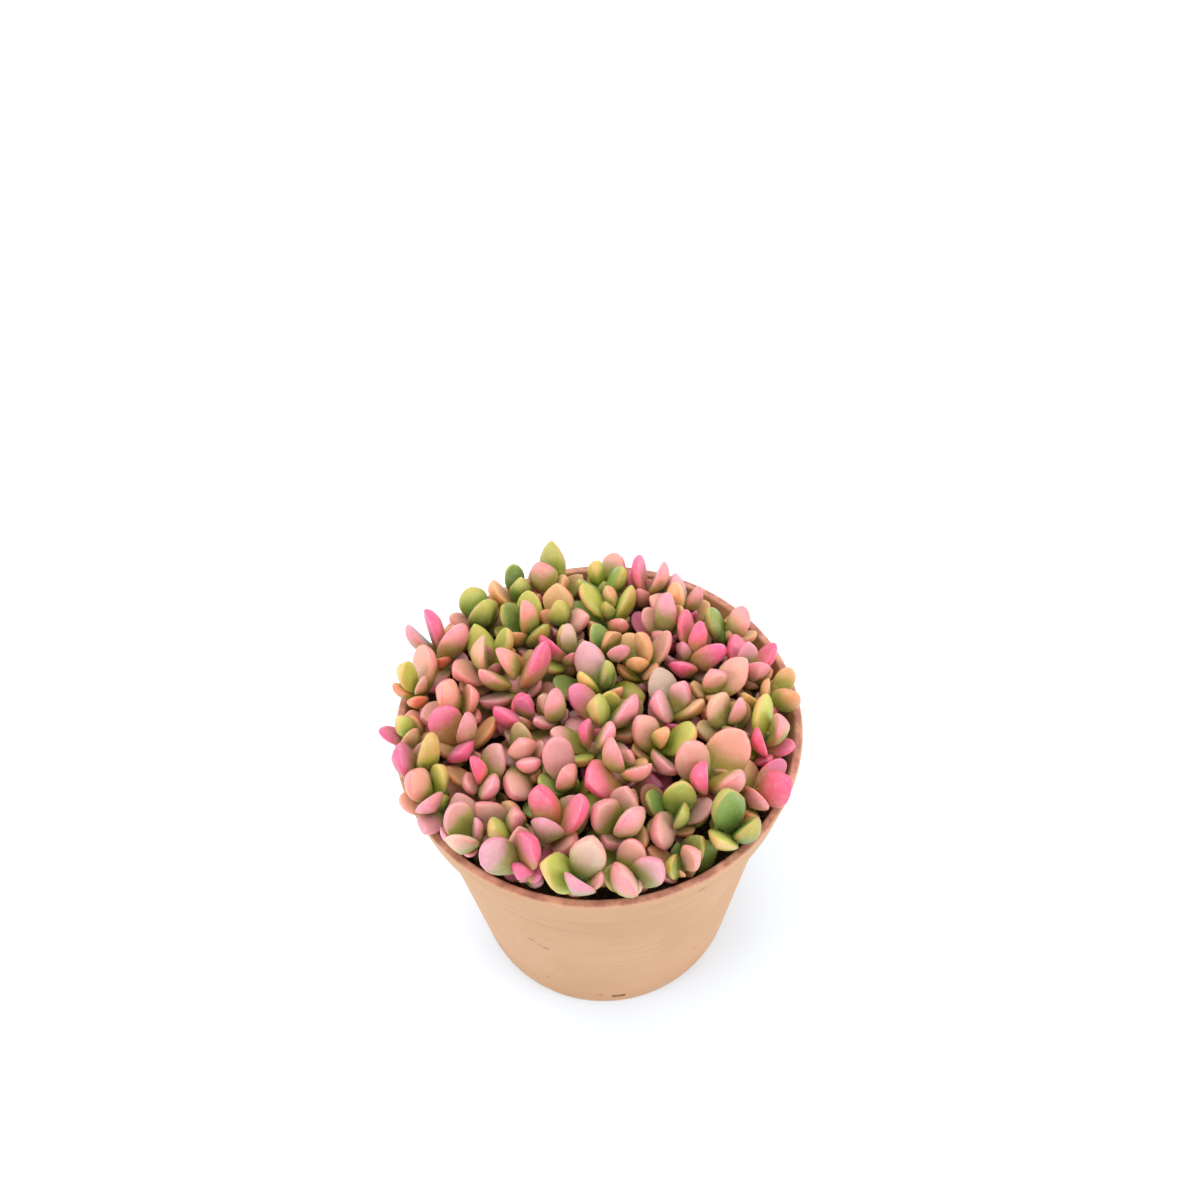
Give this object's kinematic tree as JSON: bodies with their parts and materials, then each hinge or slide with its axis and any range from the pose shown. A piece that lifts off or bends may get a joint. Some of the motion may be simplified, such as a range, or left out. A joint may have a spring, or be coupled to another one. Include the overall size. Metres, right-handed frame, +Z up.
{
  "type": "potted succulent",
  "caption": "Potted variegated sand rose: a dense cushion of small pink, peach and green succulent rosettes in a round terracotta-coloured pot with a raised collar.",
  "frame": {"origin": "centre of the pot's flat underside", "axes": "+Z up along the pot's axis; the picture looks along +Y and down"},
  "size_m": [0.1013, 0.1023, 0.1021],
  "materials": {
    "pot": "matte terracotta-coloured plastic",
    "soil": "dark crumbly potting soil, matte",
    "leaf_pink": "waxy fleshy leaf, pink to green",
    "leaf_magenta": "waxy fleshy leaf, magenta to green",
    "leaf_peach": "waxy fleshy leaf, peach to green",
    "leaf_green": "waxy fleshy leaf, green with pink margin",
    "leaf_lime": "waxy fleshy leaf, yellow green with pink margin"
  },
  "bodies": {
    "root": {"pot": "pot", "soil": "soil", "rosette_01": "leaf_pink", "rosette_02": "leaf_lime", "rosette_03": "leaf_pink", "rosette_04": "leaf_pink", "rosette_05": "leaf_peach", "rosette_06": "leaf_green", "rosette_07": "leaf_peach", "rosette_08": "leaf_peach", "rosette_09": "leaf_pink", "rosette_10": "leaf_pink", "rosette_11": "leaf_green", "rosette_12": "leaf_pink", "rosette_13": "leaf_pink", "rosette_14": "leaf_pink", "rosette_15": "leaf_green", "rosette_16": "leaf_green", "rosette_17": "leaf_green", "rosette_18": "leaf_peach", "rosette_19": "leaf_peach", "rosette_20": "leaf_pink", "rosette_21": "leaf_pink", "rosette_22": "leaf_peach", "rosette_23": "leaf_pink", "rosette_24": "leaf_lime", "rosette_25": "leaf_green", "rosette_26": "leaf_peach", "rosette_27": "leaf_pink", "rosette_28": "leaf_pink", "rosette_29": "leaf_magenta", "rosette_30": "leaf_magenta", "rosette_31": "leaf_green", "rosette_32": "leaf_green", "rosette_33": "leaf_pink", "rosette_34": "leaf_peach", "rosette_35": "leaf_pink", "rosette_36": "leaf_pink", "rosette_37": "leaf_green", "rosette_38": "leaf_pink", "rosette_39": "leaf_magenta", "rosette_40": "leaf_pink", "rosette_41": "leaf_pink", "rosette_42": "leaf_green", "rosette_43": "leaf_green", "rosette_44": "leaf_peach", "rosette_45": "leaf_lime", "rosette_46": "leaf_peach", "rosette_47": "leaf_pink", "rosette_48": "leaf_lime", "rosette_49": "leaf_pink", "rosette_50": "leaf_magenta", "rosette_51": "leaf_green", "rosette_52": "leaf_lime"}
  },
  "joints": []
}
